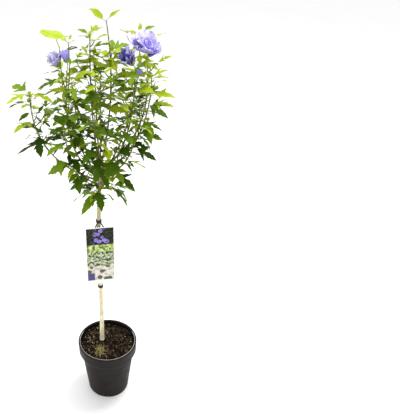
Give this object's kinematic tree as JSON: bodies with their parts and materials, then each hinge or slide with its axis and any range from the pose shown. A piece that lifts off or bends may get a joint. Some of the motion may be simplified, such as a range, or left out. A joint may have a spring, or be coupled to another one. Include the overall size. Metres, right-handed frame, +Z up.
{
  "type": "potted flowering shrub",
  "caption": "Young rose of sharon shrub with double violet blossom on a bare stem, in a round black nursery pot with a picture card strapped to its stem.",
  "frame": {"origin": "middle of the pot's flat underside, where it stands on the ground", "axes": "+Z up along the pot's axis, -Y towards the front, where the picture card faces, +X to the viewer's right"},
  "size_m": [0.3837, 0.2917, 1.1343],
  "materials": {
    "pot": "satin black, moulded",
    "soil": "rough moist compost",
    "bark": "smooth pale grey-beige bark",
    "bough": "young grey-green bark",
    "foliage": "soft satin leaves",
    "card": "printed glossy card",
    "strap": "matt black, flexible"
  },
  "bodies": {
    "root": {"pot": "pot", "soil": "soil", "trunk": "bark", "card": "card", "card_strap": "strap", "lower_tie": "strap", "bough_far_left": "bough", "bough_tall_left": "bough", "bough_back_left": "bough", "bough_mid_left": "bough", "bough_front_left": "bough", "bough_front": "bough", "bough_front_right": "bough", "bough_middle": "bough", "bough_young_left": "bough", "bough_leader": "bough", "bough_back": "bough", "bough_back_right": "bough", "bough_violet_right": "bough", "bough_bloom_right": "bough", "bough_far_right": "bough", "bough_low_right": "bough", "foliage_far_left": "foliage", "foliage_tall_left": "foliage", "foliage_back_left": "foliage", "foliage_mid_left": "foliage", "foliage_front_left": "foliage", "foliage_front": "foliage", "foliage_front_right": "foliage", "foliage_middle": "foliage", "foliage_young_left": "foliage", "foliage_leader": "foliage", "foliage_back": "foliage", "foliage_back_right": "foliage", "foliage_violet_right": "foliage", "foliage_bloom_right": "foliage", "foliage_far_right": "foliage", "foliage_low_right": "foliage", "foliage_foot_front": "foliage", "foliage_foot_left": "foliage", "foliage_foot_right": "foliage", "foliage_foot_back": "foliage"}
  },
  "joints": []
}
